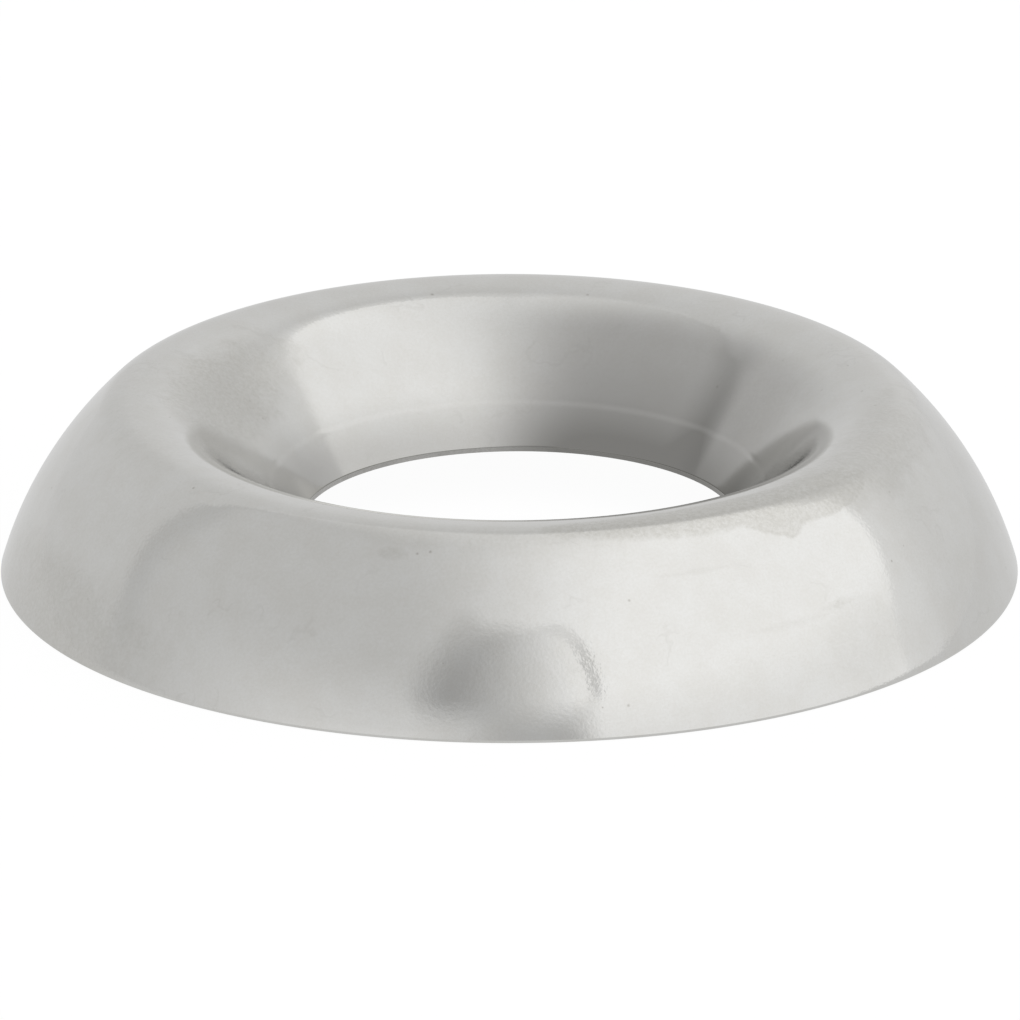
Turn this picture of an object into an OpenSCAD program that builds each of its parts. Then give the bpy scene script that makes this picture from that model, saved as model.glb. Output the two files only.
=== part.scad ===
// Finishing cup washer, pressed from thin sheet as one ring: a bulging skirt outside, a dished cup inside.
// The origin is the centre of the base plane, and +Z runs up the axis of the hole.

/* [Washer] */
// Diameter over the widest point of the skirt, just above the base
outer_d = 15; // [13.2:0.1:19]
// Height of the crest over the base
height = 2.68; // [2.3:0.02:3.6]
// Diameter of the circle that runs along the crest
crest_d = 11.2; // [10.6:0.1:12.8]

/* [Sheet] */
// Thickness of the sheet, the same from the rim to the hole
sheet_t = 0.5; // [0.3:0.02:0.6]
// Rounding of the rim's outer edge, where the skirt meets the base
rim_r = 0.04; // [0.02:0.01:0.3]

/* [Skirt] */
// Outside radius of the bend from the crest into the skirt
skirt_bend_r = 0.64; // [0.62:0.02:1.2]
// Radius of the skirt's bulge, from the bend down to the rim
skirt_r = 5.6; // [4:0.1:14]

/* [Cup] */
// Outside radius of the bend from the crest into the cup
cup_bend_r = 1.58; // [0.7:0.02:1.7]
// Radius of the cup wall's slight bulge, from the bend down to the hole
cup_r = 14; // [8:0.5:60]
// Height of the cup's lower edge over the base
cup_lift = 0.74; // [0.3:0.02:0.9]

/* [Hole] */
// Diameter of the hole's straight wall
hole_d = 6.4; // [5:0.1:7]
// Length of the hole's straight wall
hole_land = 0.06; // [0.06:0.02:0.4]
// Rounding of the mouth, where the cup wall runs over into the hole
mouth_r = 0.05; // [0.02:0.01:0.3]

/* [Hidden] */
$fn = 180;
// Largest gap between an arc of the section and the chords that stand for it
chord_gap = 0.001;
outer_r = outer_d / 2;
hole_r = hole_d / 2;
crest_r = crest_d / 2;

// Centres of the rounded rim, the two bends at the crest and the mouth of the hole
rim_c = [outer_r - rim_r, rim_r];
skirt_bend_c = [crest_r, height - skirt_bend_r];
cup_bend_c = [crest_r, height - cup_bend_r];
mouth_c = [hole_r + mouth_r, cup_lift + hole_land];

// The bulges run over into the small arcs at both of their ends, so each centre lies at two known distances
skirt_c = meet(skirt_bend_c, skirt_r - skirt_bend_r, rim_c, skirt_r - rim_r, -1);
cup_c = meet(cup_bend_c, cup_r - cup_bend_r, mouth_c, cup_r - mouth_r, 1);

// Directions, seen from the centres, at which one arc runs over into the next
rim_a = toward(skirt_c, rim_c);
skirt_a = toward(skirt_c, skirt_bend_c);
cup_a = toward(cup_c, cup_bend_c);
mouth_a = toward(cup_c, mouth_c);

// Directions at which the sheet's underside ends, on the base plane and at the cup's lower edge
base_a = -asin(skirt_c[1] / (skirt_r - sheet_t));
edge_a = 180 - asin((cup_lift - cup_c[1]) / (cup_r - sheet_t));

// Point at distance ra from a and rb from b, on the chosen side of the line from a to b
function meet(a, ra, b, rb, side) =
    let (d = norm(b - a), u = (b - a) / d, k = (d * d + ra * ra - rb * rb) / (2 * d))
    a + k * u + side * sqrt(ra * ra - k * k) * [-u[1], u[0]];

// Direction of p seen from c
function toward(c, p) = atan2(p[1] - c[1], p[0] - c[0]);

// Number of chords that an arc needs
function chords(r, sweep) = max(3, ceil(abs(sweep) / (2 * acos(1 - min(chord_gap / r, 1)))));

// Points along an arc, without its first one
function arc(c, r, from, to) =
    let (n = chords(r, to - from))
    [for (i = [1 : n]) let (a = from + (to - from) * i / n) c + r * [cos(a), sin(a)]];

// Upper face of the sheet, from the base over the crest to the top of the hole's straight wall
function upper_face() = concat(
    [[rim_c[0], 0]],
    arc(rim_c, rim_r, -90, rim_a),
    arc(skirt_c, skirt_r, rim_a, skirt_a),
    arc(skirt_bend_c, skirt_bend_r, skirt_a, 90),
    arc(cup_bend_c, cup_bend_r, 90, cup_a),
    arc(cup_c, cup_r, cup_a, mouth_a),
    arc(mouth_c, mouth_r, mouth_a, 180)
);

// Underside of the sheet, from the cup's lower edge back over the crest to the base
function underside() = concat(
    [cup_c + (cup_r - sheet_t) * [cos(edge_a), sin(edge_a)]],
    arc(cup_c, cup_r - sheet_t, edge_a, cup_a),
    arc(cup_bend_c, cup_bend_r - sheet_t, cup_a, 90),
    arc(skirt_bend_c, skirt_bend_r - sheet_t, 90, skirt_a),
    arc(skirt_c, skirt_r - sheet_t, skirt_a, base_a)
);

// Section of the pressed sheet, closed by the hole's wall, the cup's lower edge and the flat rim
module section() {
    polygon(concat(upper_face(), [[hole_r, cup_lift]], underside()));
}

// The washer: the section turned once about the axis
module cup_washer() {
    color([0.78, 0.78, 0.76])
    rotate_extrude()
    section();
}

cup_washer();
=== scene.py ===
# %% [markdown]
# # A finishing cup washer in Blender
# A finishing cup washer sits under the head of a countersunk screw. It is pressed from one disc of thin
# sheet: the outside turns down into a bulging skirt, the inside turns down into a dished cup, and a hole is
# punched through the middle. The piece is then plated with nickel.
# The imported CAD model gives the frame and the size. This lesson spins a finer ring in the same place,
# plates it, and sets it on a pale floor in a small studio.

# %% Load the CAD model
import math

import bpy
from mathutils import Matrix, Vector


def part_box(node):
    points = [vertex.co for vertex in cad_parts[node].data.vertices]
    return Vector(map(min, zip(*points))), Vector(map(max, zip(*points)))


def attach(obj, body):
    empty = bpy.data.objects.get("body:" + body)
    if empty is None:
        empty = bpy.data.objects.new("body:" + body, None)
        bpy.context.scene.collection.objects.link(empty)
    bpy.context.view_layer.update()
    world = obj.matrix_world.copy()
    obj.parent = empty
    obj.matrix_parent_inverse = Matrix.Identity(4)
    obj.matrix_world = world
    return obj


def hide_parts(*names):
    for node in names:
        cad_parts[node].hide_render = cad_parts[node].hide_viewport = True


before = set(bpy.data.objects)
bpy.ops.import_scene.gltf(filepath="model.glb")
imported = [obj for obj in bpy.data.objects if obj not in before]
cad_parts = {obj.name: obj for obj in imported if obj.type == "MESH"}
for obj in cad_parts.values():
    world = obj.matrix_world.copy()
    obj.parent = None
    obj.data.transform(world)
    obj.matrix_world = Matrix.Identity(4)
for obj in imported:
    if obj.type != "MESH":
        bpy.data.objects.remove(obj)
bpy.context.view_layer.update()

# %% [markdown]
# ## The sizes of the pressing
# Every bend of the pressing is an arc of its own. The radii below are those of the CAD model, in metres.
# The two small bends at the crest, the rounded rim and the mouth of the hole have known centres. The two
# long bulges between them touch a small arc at each end, so their centres lie at two known distances.

# %% Name the sizes
MM = 0.001
OUTER_R = 7.5 * MM
HEIGHT = 2.68 * MM
CREST_R = 5.6 * MM
SHEET = 0.5 * MM
RIM_R = 0.04 * MM
SKIRT_BEND_R = 0.64 * MM
SKIRT_R = 5.6 * MM
CUP_BEND_R = 1.58 * MM
CUP_R = 14.0 * MM
CUP_LIFT = 0.74 * MM
HOLE_R = 3.2 * MM
HOLE_LAND = 0.06 * MM
MOUTH_R = 0.05 * MM

low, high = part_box("cup_washer")
print("washer over the skirt, mm:", round((high.x - low.x) / MM, 3), "named:", round(2 * OUTER_R / MM, 3))

# %% Find the centres of the bends
def meet(a, ra, b, rb, side):
    """Point of the section at distance ra from a and rb from b."""
    step = b - a
    span = step.length
    along = step / span
    reach = (span * span + ra * ra - rb * rb) / (2 * span)
    off = math.sqrt(ra * ra - reach * reach)
    return a + reach * along + side * off * Vector((-along.y, along.x))


def toward(centre, point):
    """Direction of a point seen from a centre, in radians."""
    return math.atan2(point.y - centre.y, point.x - centre.x)


rim_c = Vector((OUTER_R - RIM_R, RIM_R))
skirt_bend_c = Vector((CREST_R, HEIGHT - SKIRT_BEND_R))
cup_bend_c = Vector((CREST_R, HEIGHT - CUP_BEND_R))
mouth_c = Vector((HOLE_R + MOUTH_R, CUP_LIFT + HOLE_LAND))
skirt_c = meet(skirt_bend_c, SKIRT_R - SKIRT_BEND_R, rim_c, SKIRT_R - RIM_R, -1)
cup_c = meet(cup_bend_c, CUP_R - CUP_BEND_R, mouth_c, CUP_R - MOUTH_R, 1)

UP = math.pi / 2
rim_a = toward(skirt_c, rim_c)
skirt_a = toward(skirt_c, skirt_bend_c)
cup_a = toward(cup_c, cup_bend_c)
mouth_a = toward(cup_c, mouth_c)
base_a = -math.asin(skirt_c.y / (SKIRT_R - SHEET))
edge_a = math.pi - math.asin((CUP_LIFT - cup_c.y) / (CUP_R - SHEET))
print("skirt leans from", round(math.degrees(rim_a), 1), "to", round(math.degrees(skirt_a), 1), "degrees")
lean = [round(180 - math.degrees(a), 1) for a in (cup_a, mouth_a)]
print("cup wall leans from", lean[0], "to", lean[1], "degrees")

# %% [markdown]
# ## The section of the sheet
# The section is one closed line: up the skirt, over the crest, down the cup, round the mouth of the hole
# and back along the underside. The punch that dished the cup left a fine crease all round the wall, a little
# above the hole. It is less than two thousandths of a millimetre deep, but bright metal shows every slope,
# so the crease is part of the line.

# %% Draw the section as points
CREASE_Z = 1.36 * MM
CREASE_HALF = 0.08 * MM
CREASE_DEPTH = 0.0016 * MM
CREASE_STEPS = 12


def arc(centre, radius, start, end, chords):
    """Points along an arc of the section, without its first one."""
    turns = [start + (end - start) * i / chords for i in range(1, chords + 1)]
    return [centre + radius * Vector((math.cos(a), math.sin(a))) for a in turns]


def creased_wall(start, end):
    """The cup wall from bend to mouth, with the crease pressed into it."""
    middle = math.pi - math.asin((CREASE_Z - cup_c.y) / CUP_R)
    half = CREASE_HALF / CUP_R
    points = arc(cup_c, CUP_R, start, middle - half, chords=10)
    for i in range(1, CREASE_STEPS + 1):
        t = i / CREASE_STEPS
        sunk = CREASE_DEPTH * (1 - math.cos(2 * math.pi * t)) / 2
        points += arc(cup_c, CUP_R - sunk, middle, middle - half + 2 * half * t, chords=1)
    return points + arc(cup_c, CUP_R, middle + half, end, chords=8)


section = [Vector((rim_c.x, 0.0))]
section += arc(rim_c, RIM_R, -UP, rim_a, chords=8)
section += arc(skirt_c, SKIRT_R, rim_a, skirt_a, chords=26)
section += arc(skirt_bend_c, SKIRT_BEND_R, skirt_a, UP, chords=16)
section += arc(cup_bend_c, CUP_BEND_R, UP, cup_a, chords=20)
section += creased_wall(cup_a, mouth_a)
section += arc(mouth_c, MOUTH_R, mouth_a, math.pi, chords=6)
section += [Vector((HOLE_R, CUP_LIFT))]
section += arc(cup_c, CUP_R - SHEET, edge_a, edge_a, chords=1)
section += arc(cup_c, CUP_R - SHEET, edge_a, cup_a, chords=8)
section += arc(cup_bend_c, CUP_BEND_R - SHEET, cup_a, UP, chords=12)
section += arc(skirt_bend_c, SKIRT_BEND_R - SHEET, UP, skirt_a, chords=6)
section += arc(skirt_c, SKIRT_R - SHEET, skirt_a, base_a, chords=14)
print("section points:", len(section))

# %% [markdown]
# ## Spinning the ring
# A turned or pressed ring is easiest to model as the press made it: one section carried round the axis. A
# plane is added and merged to a single point, and that point is extruded along the section, as one would
# draw it by hand. Spin then carries the line once round. The seam is merged before the normals are made to
# point outwards, because an open seam can leave the ring inside out.

# %% Extrude the section line
bpy.ops.object.select_all(action="DESELECT")
bpy.ops.mesh.primitive_plane_add(size=MM, enter_editmode=True)
bpy.ops.mesh.select_all(action="SELECT")
bpy.ops.mesh.merge(type="CENTER")
bpy.ops.transform.translate(value=(section[0].x, 0.0, section[0].y))
for here, there in zip(section, section[1:] + section[:1]):
    step = there - here
    bpy.ops.mesh.extrude_vertices_move(TRANSFORM_OT_translate={"value": (step.x, 0.0, step.y)})
print("line drawn through", len(section), "points")

# %% Spin it about the axis
SPIN_STEPS = 360
MERGE = 0.001 * MM
SMOOTH_BELOW = math.radians(35)
bpy.ops.mesh.select_all(action="SELECT")
bpy.ops.mesh.remove_doubles(threshold=MERGE)
bpy.ops.mesh.select_all(action="SELECT")
bpy.ops.mesh.spin(steps=SPIN_STEPS, angle=2 * math.pi, center=(0, 0, 0), axis=(0, 0, 1))
bpy.ops.mesh.select_all(action="SELECT")
bpy.ops.mesh.remove_doubles(threshold=MERGE)
bpy.ops.mesh.normals_make_consistent(inside=False)
bpy.ops.object.mode_set(mode="OBJECT")

washer = bpy.context.object
washer.name = "pressed_cup_washer"
washer.data.name = "pressed_cup_washer"
bpy.ops.object.shade_smooth_by_angle(angle=SMOOTH_BELOW)
print("ring:", len(washer.data.vertices), "points,", len(washer.data.polygons), "faces")

# %% [markdown]
# ## The finishes, one effect at a time
# Nickel plating isn't a perfect mirror. Close up, the real washer shows a fine unevenness that makes the
# edges of reflections crinkle, pits and specks, hair-thin marks, a tone that drifts and a dull film where it
# was handled. The cup wall also gets painted shade, darker than the skirt. The plated faces and the sheared
# edges share these effects, so each one is a node group with its own named sockets, built once and placed
# with its own values.

# %% Helpers for node trees
def new_node(tree, kind, **settings):
    """Adds a node and sets its properties."""
    node = tree.nodes.new(kind)
    for name, value in settings.items():
        setattr(node, name, value)
    return node


def feed(tree, socket, value):
    """Links an output to a socket, or writes a plain value on it."""
    if isinstance(value, bpy.types.NodeSocket):
        tree.links.new(value, socket)
    else:
        socket.default_value = value


def maths(tree, operation, *values):
    """A Math node fed with links or numbers."""
    node = new_node(tree, "ShaderNodeMath", operation=operation)
    for socket, value in zip(node.inputs, values):
        feed(tree, socket, value)
    return node.outputs[0]


def ramp(tree, value, start, end, low=0.0, high=1.0):
    """A smooth step of a value between two of its own levels."""
    node = new_node(tree, "ShaderNodeMapRange", interpolation_type="SMOOTHSTEP")
    given = {"Value": value, "From Min": start, "From Max": end, "To Min": low, "To Max": high}
    for name, number in given.items():
        feed(tree, node.inputs[name], number)
    return node.outputs[0]


def noise(tree, vector, scale, detail=2.0, roughness=0.5):
    """A noise value over a vector, with its scale per metre."""
    node = new_node(tree, "ShaderNodeTexNoise")
    feed(tree, node.inputs["Vector"], vector)
    feed(tree, node.inputs["Scale"], scale)
    feed(tree, node.inputs["Detail"], detail)
    feed(tree, node.inputs["Roughness"], roughness)
    return node.outputs["Fac"]


def effect_group(name, inputs, outputs):
    """An empty shader node group with named float sockets."""
    group = bpy.data.node_groups.new(name, "ShaderNodeTree")
    for label, value in inputs.items():
        socket = group.interface.new_socket(label, in_out="INPUT", socket_type="NodeSocketFloat")
        socket.default_value = value
    for label in outputs:
        group.interface.new_socket(label, in_out="OUTPUT", socket_type="NodeSocketFloat")
    return group, group.nodes.new("NodeGroupInput").outputs, group.nodes.new("NodeGroupOutput").inputs

# %% Uneven plating
FINE_PER_M, BROAD_PER_M = 19000.0, 2600.0
peel, knob, out = effect_group("uneven_plating", {"Fine": 1.0, "Broad": 1.0}, ["Height"])
place = peel.nodes.new("ShaderNodeTexCoord").outputs["Object"]
fine = maths(peel, "MULTIPLY", noise(peel, place, FINE_PER_M), knob["Fine"])
broad = maths(peel, "MULTIPLY", noise(peel, place, BROAD_PER_M), knob["Broad"])
feed(peel, out["Height"], maths(peel, "ADD", fine, broad))
print(peel.name, "nodes:", len(peel.nodes))

# %% Pits and specks
PITS_PER_M = 5200.0
pits, knob, out = effect_group("plating_pits", {"Share": 0.1, "Size": 0.3}, ["Mask"])
place = pits.nodes.new("ShaderNodeTexCoord").outputs["Object"]
cells = new_node(pits, "ShaderNodeTexVoronoi", feature="F1")
feed(pits, cells.inputs["Vector"], place)
feed(pits, cells.inputs["Scale"], PITS_PER_M)
pick = new_node(pits, "ShaderNodeSeparateColor")
feed(pits, pick.inputs[0], cells.outputs["Color"])
chosen = maths(pits, "LESS_THAN", pick.outputs[0], knob["Share"])
reach = maths(pits, "MULTIPLY", knob["Size"], pick.outputs[1])
dot = ramp(pits, cells.outputs["Distance"], reach, 0.0)
feed(pits, out["Mask"], maths(pits, "MULTIPLY", dot, chosen))
print(pits.name, "nodes:", len(pits.nodes))

# %% Hair-thin marks
HAIRS_PER_M, PATCHES_PER_M = 1500.0, 1100.0
NO_PATCH, PATCH_GAIN, PATCH_SOFT = 0.8, 0.5, 0.08
hairs, knob, out = effect_group("hair_marks", {"Thin": 0.012, "Share": 0.4}, ["Mask"])
place = hairs.nodes.new("ShaderNodeTexCoord").outputs["Object"]
away = maths(hairs, "ABSOLUTE", maths(hairs, "SUBTRACT", noise(hairs, place, HAIRS_PER_M, 3.0), 0.5))
line = ramp(hairs, away, knob["Thin"], 0.0)
edge = maths(hairs, "SUBTRACT", NO_PATCH, maths(hairs, "MULTIPLY", knob["Share"], PATCH_GAIN))
patch = ramp(hairs, noise(hairs, place, PATCHES_PER_M, 1.0), edge, maths(hairs, "ADD", edge, PATCH_SOFT))
feed(hairs, out["Mask"], maths(hairs, "MULTIPLY", line, patch))
print(hairs.name, "nodes:", len(hairs.nodes))

# %% [markdown]
# ## Dull film
# Handling leaves a thin dull film on bright nickel, in patches with ragged, gritty edges. A patch is placed
# as one would point to it on the ring: by its turn about the axis, starting at the front, and by its radius.

# %% Dull film, placed by its turn about the axis and its radius
WAVES_PER_M, GRIT_PER_M = 3600.0, 16000.0
GRIT_LEAST = 0.4


def ring_place(tree):
    """Turn about the axis in degrees, from front to right, with radius and height in mm."""
    axes = new_node(tree, "ShaderNodeSeparateXYZ")
    feed(tree, axes.inputs[0], tree.nodes.new("ShaderNodeTexCoord").outputs["Object"])
    x, y, z = axes.outputs
    turn = maths(tree, "DEGREES", maths(tree, "ARCTAN2", x, maths(tree, "MULTIPLY", y, -1.0)))
    squares = maths(tree, "ADD", maths(tree, "MULTIPLY", x, x), maths(tree, "MULTIPLY", y, y))
    radius = maths(tree, "DIVIDE", maths(tree, "SQRT", squares), MM)
    return turn, radius, maths(tree, "DIVIDE", z, MM)


sockets = {"Turn": 0.0, "Reach": 20.0, "Radius": 6.0, "Width": 0.3, "Ragged": 1.0, "Soft": 0.5,
           "Corner": 2.0}
film, knob, out = effect_group("dull_film", sockets, ["Mask"])
place = film.nodes.new("ShaderNodeTexCoord").outputs["Object"]
turn, radius = ring_place(film)[:2]
along = maths(film, "DIVIDE", maths(film, "SUBTRACT", turn, knob["Turn"]), knob["Reach"])
aside = maths(film, "DIVIDE", maths(film, "SUBTRACT", radius, knob["Radius"]), knob["Width"])
along = maths(film, "POWER", maths(film, "ABSOLUTE", along), knob["Corner"])
aside = maths(film, "POWER", maths(film, "ABSOLUTE", aside), knob["Corner"])
far = maths(film, "ADD", along, aside)
wavy = maths(film, "SUBTRACT", noise(film, place, WAVES_PER_M, 5.0, 0.65), 0.5)
far = maths(film, "ADD", far, maths(film, "MULTIPLY", wavy, knob["Ragged"]))
grit = ramp(film, noise(film, place, GRIT_PER_M, 3.0, 0.7), 0.3, 0.7, GRIT_LEAST, 1.0)
body = ramp(film, far, maths(film, "ADD", 1.0, knob["Soft"]), maths(film, "SUBTRACT", 1.0, knob["Soft"]))
feed(film, out["Mask"], maths(film, "MULTIPLY", body, grit))
print(film.name, "nodes:", len(film.nodes))

# %% [markdown]
# ## The cup with painted shade
# The cup wall gets painted shade, darker than the skirt, most of all at the edge of the hole and in a zone
# at its right back, which starts with a streak. Along the crease the painted shade is lighter, a painted
# highlight line.
# The radii are in millimetres, and the steps about the turn are cosines or sines of the angle.

# %% Painted shade towards the hole
def between(tree, share, start, end):
    """A level that goes from start to end with a share from 0 to 1."""
    return maths(tree, "ADD", maths(tree, "MULTIPLY", share, end),
                 maths(tree, "MULTIPLY", maths(tree, "SUBTRACT", 1.0, share), start))


WORST_FROM, WORST_FULL = 0.65, 0.99
CUT_FROM, CUT_FULL = -0.08, 0.05
STREAK_END, STREAK_FULL, STREAK_GAIN = 0.20, 0.03, 0.5
BEFORE_CUT = 0.8
WALL_R, WALL_FULL_R = 5.1, 4.5
EDGE_R, EDGE_FULL_R = 3.9, 3.2
SPREAD_R, SPREAD_FULL_R = 4.6, 3.6
CREASE_HIGHLIGHT_HALF = 0.06

sockets = {"Wall": 0.2, "Edge": 0.2, "Turn": 140.0, "Cut": 130.0, "More": 1.0, "Spread": 0.3,
           "Rubbed": 0.5}
painted_cup_shade, knob, out = effect_group("cup_painted_shade", sockets, ["Mask", "Inside"])
turn, radius, height = ring_place(painted_cup_shade)
from_worst = maths(painted_cup_shade, "RADIANS", maths(painted_cup_shade, "SUBTRACT", turn, knob["Turn"]))
from_cut = maths(painted_cup_shade, "RADIANS", maths(painted_cup_shade, "SUBTRACT", turn, knob["Cut"]))
worst = ramp(painted_cup_shade, maths(painted_cup_shade, "COSINE", from_worst), WORST_FROM, WORST_FULL)
past_cut = maths(painted_cup_shade, "SINE", from_cut)
begun = ramp(painted_cup_shade, past_cut, CUT_FROM, CUT_FULL)
streak = maths(painted_cup_shade, "MULTIPLY", begun, ramp(painted_cup_shade, past_cut, STREAK_END, STREAK_FULL))
worst = maths(painted_cup_shade, "MULTIPLY", worst, between(painted_cup_shade, begun, BEFORE_CUT, 1.0))
worst = maths(painted_cup_shade, "ADD", worst, maths(painted_cup_shade, "MULTIPLY", streak, STREAK_GAIN))
worse = maths(painted_cup_shade, "ADD", maths(painted_cup_shade, "MULTIPLY", worst, knob["More"]), 1.0)
inside = ramp(painted_cup_shade, radius, WALL_R, WALL_FULL_R)
wall = maths(painted_cup_shade, "MULTIPLY", maths(painted_cup_shade, "MULTIPLY", inside, knob["Wall"]), worse)
edge = maths(painted_cup_shade, "MULTIPLY", ramp(painted_cup_shade, radius, EDGE_R, EDGE_FULL_R), knob["Edge"])
spread = maths(painted_cup_shade, "MULTIPLY", ramp(painted_cup_shade, radius, SPREAD_R, SPREAD_FULL_R), knob["Spread"])
# Painted shade: the cup wall darker towards the hole and in a zone at its right back.
painted_dark = maths(painted_cup_shade, "ADD", maths(painted_cup_shade, "ADD", wall, edge), maths(painted_cup_shade, "MULTIPLY", spread, worst))
# A painted highlight along the crease: the painted shade is lighter in a thin band there.
off_crease = maths(painted_cup_shade, "ABSOLUTE", maths(painted_cup_shade, "SUBTRACT", height, CREASE_Z / MM))
crease_highlight = maths(painted_cup_shade, "MULTIPLY", ramp(painted_cup_shade, off_crease, CREASE_HIGHLIGHT_HALF, 0.0), knob["Rubbed"])
feed(painted_cup_shade, out["Inside"], inside)
feed(painted_cup_shade, out["Mask"], maths(painted_cup_shade, "MULTIPLY", painted_dark, maths(painted_cup_shade, "SUBTRACT", 1.0, crease_highlight)))
print(painted_cup_shade.name, "nodes:", len(painted_cup_shade.nodes))

# %% [markdown]
# ## Drifting tone
# Plating is nowhere quite the same thickness, so its tone drifts in broad clouds with a fine grain in them.

# %% Drifting tone
CLOUDS_PER_M, GRAINS_PER_M = 1600.0, 24000.0
drift, knob, out = effect_group("tone_drift", {"Cloud": 0.5, "Grain": 0.5}, ["Mask"])
place = drift.nodes.new("ShaderNodeTexCoord").outputs["Object"]
cloud = ramp(drift, noise(drift, place, CLOUDS_PER_M, 3.0, 0.6), 0.3, 0.7)
cloud = maths(drift, "MULTIPLY", cloud, knob["Cloud"])
grain = ramp(drift, noise(drift, place, GRAINS_PER_M, 2.0, 0.6), 0.3, 0.7)
grain = maths(drift, "MULTIPLY", grain, knob["Grain"])
feed(drift, out["Mask"], maths(drift, "ADD", cloud, grain))
print("effects:", [group.name for group in (peel, pits, hairs, film, painted_cup_shade, drift)])

# %% [markdown]
# ## Two finishes on one pressing
# The plated faces are bright and slightly warm. Where the sheet was sheared, at the hole and at the rim, the
# metal is rougher and shows no clear reflections. Both use the groups with the same values, but with their
# own colour, roughness and depth of bump. The film lies where this washer was handled: along the front of
# the crest, on its right shoulder, on the left inside of the cup and low on the skirt.

# %% Place the effects
def place_group(tree, group, **values):
    """Puts a node group into a material and sets its inputs."""
    node = new_node(tree, "ShaderNodeGroup", node_tree=group)
    for label, value in values.items():
        feed(tree, node.inputs[label], value)
    return node.outputs


def tint(tree, factor, clean, marked):
    """Mixes two colours by a mask."""
    node = new_node(tree, "ShaderNodeMix", data_type="RGBA")
    feed(tree, node.inputs["Factor"], factor)
    feed(tree, node.inputs["A"], clean)
    feed(tree, node.inputs["B"], marked)
    return node.outputs["Result"]


FILMS = [
    {"Turn": 32.0, "Reach": 28.0, "Radius": 5.75, "Width": 0.32, "Ragged": 1.0, "Soft": 0.30, "cover": 0.85},
    {"Turn": 48.0, "Reach": 13.0, "Radius": 5.95, "Width": 0.27, "Ragged": 0.8, "Soft": 0.15, "cover": 0.8},
    {"Turn": 41.0, "Reach": 7.0, "Radius": 6.08, "Width": 0.25, "Ragged": 0.5, "Soft": 0.10, "Corner": 1.0,
     "cover": 0.75},
    {"Turn": 68.0, "Reach": 24.0, "Radius": 5.70, "Width": 0.55, "Ragged": 3.0, "Soft": 0.9, "cover": 0.6},
    {"Turn": 46.0, "Reach": 5.5, "Radius": 7.22, "Width": 0.27, "Ragged": 0.8, "Soft": 0.3, "cover": 0.2},
    {"Turn": 43.5, "Reach": 2.5, "Radius": 6.98, "Width": 0.04, "Ragged": 2.0, "Soft": 0.9, "Corner": 1.0,
     "cover": 0.6},
    {"Turn": 36.5, "Reach": 6.0, "Radius": 7.02, "Width": 0.03, "Ragged": 2.0, "Soft": 0.9, "Corner": 1.0,
     "cover": 0.25},
    {"Turn": 25.0, "Reach": 5.0, "Radius": 6.44, "Width": 0.03, "Ragged": 2.0, "Soft": 0.9, "Corner": 1.0,
     "cover": 0.3},
    {"Turn": -16.0, "Reach": 2.0, "Radius": 6.16, "Width": 0.07, "Ragged": 2.0, "Soft": 0.8, "cover": 0.4},
    {"Turn": -67.0, "Reach": 20.0, "Radius": 7.36, "Width": 0.30, "Ragged": 2.5, "Soft": 0.9, "cover": 0.5},
    {"Turn": -106.0, "Reach": 25.0, "Radius": 4.55, "Width": 0.62, "Ragged": 2.0, "Soft": 0.7, "cover": 0.75},
    {"Turn": -85.0, "Reach": 28.0, "Radius": 5.50, "Width": 0.50, "Ragged": 3.0, "Soft": 0.9, "cover": 0.3},
    {"Turn": 0.0, "Reach": 26.0, "Radius": 5.85, "Width": 0.25, "Ragged": 2.5, "Soft": 0.9, "cover": 0.25},
    {"Turn": 116.0, "Reach": 10.0, "Radius": 4.20, "Width": 0.35, "Ragged": 2.5, "Soft": 0.9, "cover": 0.3},
]


def film_cover(tree):
    """The dull film of all its places, as one mask."""
    cover = 0.0
    for spot in FILMS:
        sockets = {name: value for name, value in spot.items() if name != "cover"}
        mask = maths(tree, "MULTIPLY", place_group(tree, film, **sockets)["Mask"], spot["cover"])
        cover = maths(tree, "MAXIMUM", mask, cover)
    return cover


# %% Nickel plating and sheared edges
SPECK = (0.50, 0.49, 0.46, 1)
FILM = (0.555, 0.545, 0.51, 1)
# Colour of the painted shade on the cup wall.
PAINTED_SHADE = (0.298, 0.293, 0.28, 1)
DRIFT = (0.69, 0.683, 0.658, 1)
LINE_COVER = 0.14
PIT_SINK = 0.3
FILM_HAZE, CUP_HAZE = 0.12, 0.055
CUP_CALM = 0.7


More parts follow.
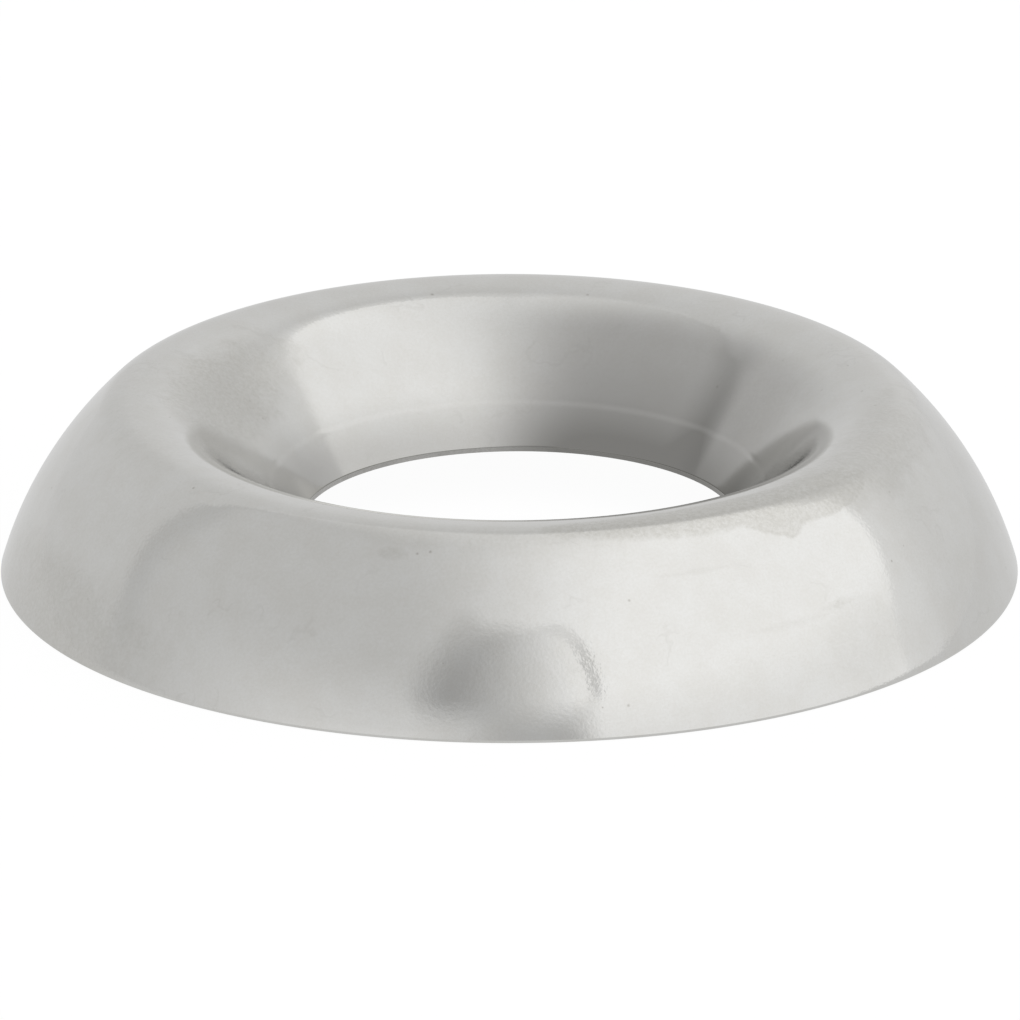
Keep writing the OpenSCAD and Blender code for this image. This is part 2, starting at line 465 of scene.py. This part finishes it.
def plated(name, clean, rough, lift):
    """A metal finish with all the effects, and painted shade on the cup wall. Inside the cup it is hazier,
    and its bump is calmer.
    """
    material = bpy.data.materials.new(name)
    material.use_nodes = True
    tree = material.node_tree
    skin = tree.nodes["Principled BSDF"]
    height = place_group(tree, peel, Fine=1.0, Broad=1.5)["Height"]
    specks = place_group(tree, pits, Share=0.06, Size=0.24)["Mask"]
    lines = place_group(tree, hairs, Thin=0.03, Share=0.45)["Mask"]
    lines = maths(tree, "MULTIPLY", lines, LINE_COVER)
    cover = film_cover(tree)
    tone = place_group(tree, drift, Cloud=0.65, Grain=0.5)["Mask"]
    # This group paints shade on the cup wall, darker towards the hole and at its right back, with a painted
    # highlight line along the crease.
    cup = place_group(tree, painted_cup_shade, Wall=0.16, Edge=0.42, Turn=140.0, Cut=128.5, More=2.0,
                      Spread=0.24, Rubbed=0.15)
    calm = maths(tree, "SUBTRACT", 1.0, maths(tree, "MULTIPLY", cup["Inside"], CUP_CALM))
    height = maths(tree, "SUBTRACT", height, maths(tree, "MULTIPLY", specks, PIT_SINK))
    colour = tint(tree, tone, clean, DRIFT)
    colour = tint(tree, cover, colour, FILM)
    colour = tint(tree, maths(tree, "MAXIMUM", specks, lines), colour, SPECK)
    # Painted shade on the cup wall.
    colour = tint(tree, cup["Mask"], colour, PAINTED_SHADE)
    feed(tree, skin.inputs["Base Color"], colour)
    hazy = maths(tree, "MULTIPLY", cover, FILM_HAZE)
    hazy = maths(tree, "ADD", hazy, maths(tree, "MULTIPLY", cup["Inside"], CUP_HAZE))
    feed(tree, skin.inputs["Roughness"], maths(tree, "ADD", hazy, rough))
    skin.inputs["Metallic"].default_value = 1.0
    bump = new_node(tree, "ShaderNodeBump")
    bump.inputs["Strength"].default_value = 1.0
    bump.inputs["Distance"].default_value = lift
    feed(tree, bump.inputs["Height"], maths(tree, "MULTIPLY", height, calm))
    feed(tree, skin.inputs["Normal"], bump.outputs["Normal"])
    return material


nickel = plated("nickel_plating", (0.728, 0.727, 0.711, 1), 0.07, 0.0009 * MM)
sheared = plated("sheared_edge", (0.95, 0.94, 0.92, 1), 0.3, 0.004 * MM)
washer.data.materials.append(nickel)
washer.data.materials.append(sheared)
print("finishes:", [m.name for m in washer.data.materials])

# %% Give the sheared faces their finish
NEAR = 0.01 * MM
FACES_DOWN = -0.999


def is_sheared(face):
    """True on the hole's straight wall and on the flat faces that look down."""
    r = math.hypot(face.center.x, face.center.y)
    in_hole = abs(r - HOLE_R) < NEAR and face.center.z < CUP_LIFT + HOLE_LAND
    return in_hole or face.normal.z < FACES_DOWN


bpy.ops.object.mode_set(mode="EDIT")
bpy.ops.mesh.select_mode(type="FACE")
bpy.ops.mesh.select_all(action="DESELECT")
bpy.ops.object.mode_set(mode="OBJECT")
for face in washer.data.polygons:
    face.select = is_sheared(face)
bpy.ops.object.mode_set(mode="EDIT")
washer.active_material_index = 1
bpy.ops.object.material_slot_assign()
bpy.ops.object.mode_set(mode="OBJECT")
print("sheared faces:", sum(face.material_index == 1 for face in washer.data.polygons))

# %% [markdown]
# ## The punch struck off centre
# The hole of this washer lies a little to the right of the middle, and the cup wall leans over to it. In
# edit mode that is one move with proportional editing: the hole's edge goes all the way, and the wall follows
# less and less up to the crest. Both faces of the sheet move together, so it stays nearly as thick.

# %% Push the hole aside
PUNCH_OFF = (0.15 * MM, 0.05 * MM, 0.0)
PUNCH_REACH = 2.4 * MM
bpy.ops.object.mode_set(mode="EDIT")
bpy.ops.mesh.select_mode(type="VERT")
bpy.ops.mesh.select_all(action="DESELECT")
bpy.ops.object.mode_set(mode="OBJECT")
for point in washer.data.vertices:
    point.select = math.hypot(point.co.x, point.co.y) < HOLE_R + MERGE
bpy.ops.object.mode_set(mode="EDIT")
bpy.ops.transform.translate(value=PUNCH_OFF, use_proportional_edit=True,
                            proportional_edit_falloff="SMOOTH", proportional_size=PUNCH_REACH)
bpy.ops.object.mode_set(mode="OBJECT")
print("points pushed with the hole:", sum(point.select for point in washer.data.vertices))

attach(washer, "root")
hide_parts("cup_washer")

# %% [markdown]
# ## The floor
# Small hardware is shot on a pale, evenly lit floor that comes out white. The floor is pale paint that takes
# a soft shadow. To the camera, and in the metal's reflections, most of its brightness is its own: white to
# the camera, and dimmer in the metal, which looks along the floor into its less lit parts.

# %% Lay the floor
FLOOR_OWN = 0.93
WHITE, IN_METAL = 1.03, 0.715
FLOOR_SIZE = 2.0
FLOOR_DROP = 0.005 * MM
PAPER = (0.8, 0.8, 0.8, 1)
bpy.ops.object.select_all(action="DESELECT")
bpy.ops.mesh.primitive_plane_add(size=FLOOR_SIZE, location=(0, 0, -FLOOR_DROP))
floor = bpy.context.object
floor.name = "studio_floor"
paper = bpy.data.materials.new("floor_paper")
paper.use_nodes = True
tree = paper.node_tree
tree.nodes.clear()
path = tree.nodes.new("ShaderNodeLightPath").outputs
seen = maths(tree, "MAXIMUM", path["Is Camera Ray"], path["Is Transmission Ray"])
seen = maths(tree, "MAXIMUM", seen, path["Is Glossy Ray"])
matt = new_node(tree, "ShaderNodeBsdfDiffuse")
matt.inputs["Color"].default_value = PAPER
glow = new_node(tree, "ShaderNodeEmission")
feed(tree, glow.inputs["Strength"], ramp(tree, path["Is Glossy Ray"], 0.0, 1.0, WHITE, IN_METAL))
blend = new_node(tree, "ShaderNodeMixShader")
feed(tree, blend.inputs[0], maths(tree, "MULTIPLY", seen, FLOOR_OWN))
tree.links.new(matt.outputs[0], blend.inputs[1])
tree.links.new(glow.outputs[0], blend.inputs[2])
tree.links.new(blend.outputs[0], tree.nodes.new("ShaderNodeOutputMaterial").inputs["Surface"])
floor.data.materials.append(paper)
print("floor:", [round(v, 2) for v in floor.dimensions], "m")

# %% [markdown]
# ## The studio
# Bright metal has hardly any colour of its own: it shows what stands round it. Here that is a small light
# tent with a bright right half and a dimmer left half, open at the front where the lens looks in, and a grey
# room above and behind. The tent is drawn on the world by direction, so it lights the washer softly from
# everywhere and no lamp makes a hot spot. A direction has a side, in degrees from the front to the right,
# and a rise, in degrees above the floor. Most ramps below step between two such angles.

# %% Directions in the studio
world = bpy.data.worlds.new("studio")
bpy.context.scene.world = world
world.use_nodes = True
tree = world.node_tree
tree.nodes.clear()
split = new_node(tree, "ShaderNodeSeparateXYZ")
feed(tree, split.inputs[0], tree.nodes.new("ShaderNodeTexCoord").outputs["Generated"])
across, back, up = split.outputs
side = maths(tree, "DEGREES", maths(tree, "ARCTAN2", across, maths(tree, "MULTIPLY", back, -1.0)))
rise = maths(tree, "DEGREES", maths(tree, "ARCSINE", up))
print("direction nodes:", len(tree.nodes))

# %% The tent's cloth
DIM, DIM_NEAR_FLOOR = 0.65, 0.19
BRIGHT_LOW, BRIGHT = 1.0, 1.13
low = ramp(tree, rise, 36.0, 5.0)
low_left = maths(tree, "MULTIPLY", low, ramp(tree, side, -95.0, -40.0))
dim_half = maths(tree, "ADD", maths(tree, "MULTIPLY", low_left, DIM_NEAR_FLOOR), DIM)
bright_half = between(tree, ramp(tree, rise, 9.0, 28.0), BRIGHT_LOW, BRIGHT)
cloth = between(tree, ramp(tree, across, -0.4, 0.45), dim_half, bright_half)
print("cloth, dim and bright:", DIM, BRIGHT)

# %% [markdown]
# ## The opening for the lens
# The front of the skirt mirrors the opening as a small arch: dark on the left, light on the right, with a
# squarer corner and a dim hem at the right, and a narrower foot near the floor. The arch is one rounded
# outline: a higher power makes its corner squarer.

# %% The opening for the lens
OPENING_HALF, FOOT_HALF = 20.5, 15.3
OPENING_TOP, OPENING_TOP_LEFT = 45.6, 43.0
OPENING_DARK, OPENING_LIGHT, HEM = 0.42, 1.08, 0.64
FOOT_LEFT, FOOT_RIGHT = 0.76, 0.56
SHARP_LEFT, SHARP_RIGHT = 2.3, 5.0
SLOPE_FROM, SLOPE_TO, SLOPE_BEND = -16.0, 17.0, 1.5
to_left = ramp(tree, side, -4.0, -16.0)
to_right = ramp(tree, side, 2.0, 12.0)
at_right = ramp(tree, side, 8.0, 18.0)
foot_top = between(tree, to_left, 26.0, 28.0)
foot_low = between(tree, to_left, 14.0, 10.0)
half = between(tree, ramp(tree, rise, foot_top, foot_low), OPENING_HALF, FOOT_HALF)
above_foot = ramp(tree, rise, 15.0, 25.0)
corner = between(tree, maths(tree, "MULTIPLY", to_right, above_foot), SHARP_LEFT, SHARP_RIGHT)
wide = maths(tree, "POWER", maths(tree, "ABSOLUTE", maths(tree, "DIVIDE", side, half)), corner)
top = between(tree, to_left, OPENING_TOP, OPENING_TOP_LEFT)
tall = maths(tree, "POWER", maths(tree, "MAXIMUM", maths(tree, "DIVIDE", rise, top), 0.0), corner)
reach = maths(tree, "ADD", wide, tall)
outer = between(tree, at_right, between(tree, to_left, 1.2, 2.2), 1.45)
inner = between(tree, at_right, between(tree, to_left, 0.8, 0.6), 1.25)
outer = between(tree, above_foot, 2.3, outer)
inner = between(tree, above_foot, 0.5, inner)
hollow = ramp(tree, reach, outer, inner)
slope = new_node(tree, "ShaderNodeMapRange")
for name, number in {"Value": side, "From Min": SLOPE_FROM, "From Max": SLOPE_TO}.items():
    feed(tree, slope.inputs[name], number)
gleam = between(tree, maths(tree, "POWER", slope.outputs[0], SLOPE_BEND), OPENING_DARK, OPENING_LIGHT)
foot = between(tree, ramp(tree, side, -15.0, 2.0), FOOT_LEFT, FOOT_RIGHT)
gleam = between(tree, ramp(tree, rise, 25.0, 13.0), gleam, foot)
hem = maths(tree, "MULTIPLY", ramp(tree, reach, 0.78, 1.0), ramp(tree, side, 0.0, 8.0))
hem_high = maths(tree, "MULTIPLY", ramp(tree, rise, 21.0, 26.0), ramp(tree, rise, 46.0, 34.0, 0.35, 1.0))
hem = maths(tree, "MULTIPLY", hem, hem_high)
gleam = between(tree, hem, gleam, HEM)
front = between(tree, hollow, cloth, gleam)
print("opening, degrees wide and high:", 2 * OPENING_HALF, OPENING_TOP)

# %% [markdown]
# ## The room above and behind
# The tent ends a little behind the washer, further back the higher up. Past that limit the metal shows the
# grey room, with a paler edge along the tent's right side and a faint seam along its left. To the camera the
# world itself is plain white.

# %% The room above and behind
ROOM, ROOM_LOW_RIGHT = 0.69, 0.775
EDGE_RIGHT, EDGE_LEFT, EDGE_HIGH = 0.90, 0.68, 0.78
SEAM = 0.90
TENT_END, LEAN_BACK, OVER_TOP = 99.0, 17.0, 64.0
left = ramp(tree, across, 0.1, -0.2)
lift_off = maths(tree, "MULTIPLY", ramp(tree, rise, 6.0, 34.0), LEAN_BACK)
over_top = maths(tree, "MULTIPLY", ramp(tree, rise, 42.0, 66.0), OVER_TOP)
left_foot = maths(tree, "MULTIPLY", left, ramp(tree, rise, 3.0, 36.0, 5.0, -3.0))
limit = maths(tree, "ADD", maths(tree, "ADD", lift_off, over_top), maths(tree, "ADD", left_foot, TENT_END))
beyond = maths(tree, "SUBTRACT", maths(tree, "ABSOLUTE", side), limit)
low_right = maths(tree, "MULTIPLY", ramp(tree, rise, 56.0, 38.0), ramp(tree, across, -0.3, 0.3))
low_right = maths(tree, "MULTIPLY", low_right, ramp(tree, rise, -2.0, 14.0, 0.5, 1.0))
room = between(tree, low_right, ROOM, ROOM_LOW_RIGHT)
rim = between(tree, left, EDGE_RIGHT, EDGE_LEFT)
rim = between(tree, ramp(tree, rise, 48.0, 62.0), rim, EDGE_HIGH)
room = between(tree, ramp(tree, beyond, 28.0, -2.0), room, rim)
level = between(tree, ramp(tree, beyond, -1.2, 1.2), front, room)
seam = maths(tree, "MULTIPLY", ramp(tree, beyond, -14.0, -3.0), ramp(tree, beyond, 2.0, -2.0))
seam = maths(tree, "MULTIPLY", maths(tree, "MULTIPLY", seam, left), ramp(tree, rise, 60.0, 48.0))
seam = maths(tree, "MULTIPLY", seam, ramp(tree, rise, 4.0, 20.0))
level = maths(tree, "MULTIPLY", level, between(tree, seam, 1.0, SEAM))
path = tree.nodes.new("ShaderNodeLightPath").outputs
level = between(tree, path["Is Camera Ray"], level, 1.0)
backdrop = new_node(tree, "ShaderNodeBackground")
backdrop.inputs["Color"].default_value = (1, 1, 1, 1)
feed(tree, backdrop.inputs["Strength"], level)
tree.links.new(backdrop.outputs[0], tree.nodes.new("ShaderNodeOutputWorld").inputs["Surface"])
print("studio nodes:", len(tree.nodes))

# %% [markdown]
# ## The camera
# The photograph was taken from a long way off, about nineteen degrees above the floor, so the ring's ellipse
# is nearly the same at the front and at the back. A long lens far away gives that. The camera is aimed so
# that the washer sits where it does in the picture, and no shift is needed.

# %% Set up the camera
PICTURE = 1020
PX_PER_R = 508.4
BASE_PX = (509.3, 571.4)
TILT = math.radians(19.4)
DISTANCE = 60 * OUTER_R
SENSOR = 36.0

lens = bpy.data.cameras.new("camera")
camera = bpy.data.objects.new("camera", lens)
bpy.context.scene.collection.objects.link(camera)
lens.sensor_width = SENSOR
lens.lens = SENSOR * PX_PER_R * (DISTANCE / OUTER_R) / PICTURE
lens.clip_start, lens.clip_end = 0.01, 10.0
back_off = Vector((0, -math.cos(TILT), math.sin(TILT)))
upward = Vector((0, math.sin(TILT), math.cos(TILT)))
per_px = OUTER_R / PX_PER_R
aim = Vector(((PICTURE / 2 - BASE_PX[0]) * per_px, 0, 0))
aim += upward * (BASE_PX[1] - PICTURE / 2) * per_px
camera.location = aim + back_off * DISTANCE
camera.rotation_mode = "QUATERNION"
camera.rotation_quaternion = (-back_off).to_track_quat("-Z", "Y")
bpy.context.scene.camera = camera
bpy.context.scene.view_settings.view_transform = "Standard"
print("lens, mm:", round(lens.lens, 1))
